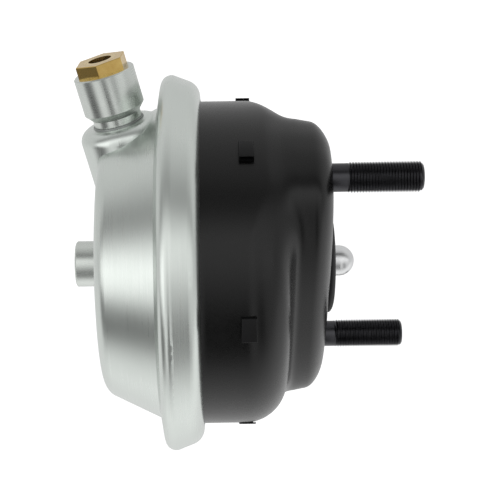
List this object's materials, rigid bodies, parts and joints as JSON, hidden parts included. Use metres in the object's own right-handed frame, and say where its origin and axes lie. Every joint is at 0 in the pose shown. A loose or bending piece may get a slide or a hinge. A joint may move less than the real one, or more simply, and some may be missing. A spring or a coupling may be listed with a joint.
{
  "type": "air brake chamber",
  "caption": "Diaphragm air brake chamber with a crimped cover, leaning air port, studded mounting face and a sprung, swinging push rod.",
  "frame": {"origin": "centre of the mounting face, on the push rod's axis and midway between the two studs", "axes": "+X along the push rod's working stroke, +Z from the rod's axis to the side of the air port"},
  "size_m": [0.1839, 0.2042, 0.2186],
  "materials": {
    "zinc_plated_steel": "satin zinc plate",
    "brass": "machined",
    "collet_brass": "machined",
    "rubber": "moulded matt",
    "black_paint": "semi-gloss",
    "black_steel": "black phosphate",
    "plain_steel": "pressed",
    "spring_steel": "oiled",
    "bright_steel": "bright",
    "black_plastic": "moulded"
  },
  "bodies": {
    "chamber": {"pressure_cover": "zinc_plated_steel", "centre_stub": "zinc_plated_steel", "port_boss": "zinc_plated_steel", "union_body": "brass", "union_collet": "collet_brass", "union_tube_seal": "rubber", "union_o_ring": "rubber", "flange_housing": "black_paint", "stud_plate": "plain_steel", "mounting_stud_1": "black_steel", "mounting_stud_2": "black_steel", "seal_ring": "rubber", "bellows": "rubber", "bellows_retainer": "plain_steel", "spring_seat": "plain_steel", "return_spring": "spring_steel", "diaphragm": "rubber", "vent_cap_1": "black_plastic", "vent_cap_2": "black_plastic", "vent_cap_3": "black_plastic", "vent_cap_4": "black_plastic", "vent_cap_5": "black_plastic", "vent_cap_6": "black_plastic"},
    "plate": {"push_plate": "plain_steel", "bellows_clamp": "plain_steel"},
    "rod": {"push_rod": "bright_steel"}
  },
  "joints": [
    {"name": "plate_slide", "type": "slide", "parent": "chamber", "child": "plate", "axis": [1, 0, 0], "range_m": [0, 0.06], "stiffness_N_per_m": 2500, "springref_m": -0.048, "deforming": ["return_spring", "bellows", "diaphragm"]},
    {"name": "rod_swing", "type": "hinge", "parent": "plate", "child": "rod", "pos_m": [-0.0962, 0, 0], "axis": [0, -0.3827, 0.9239], "range_deg": [-3, 3]}
  ]
}
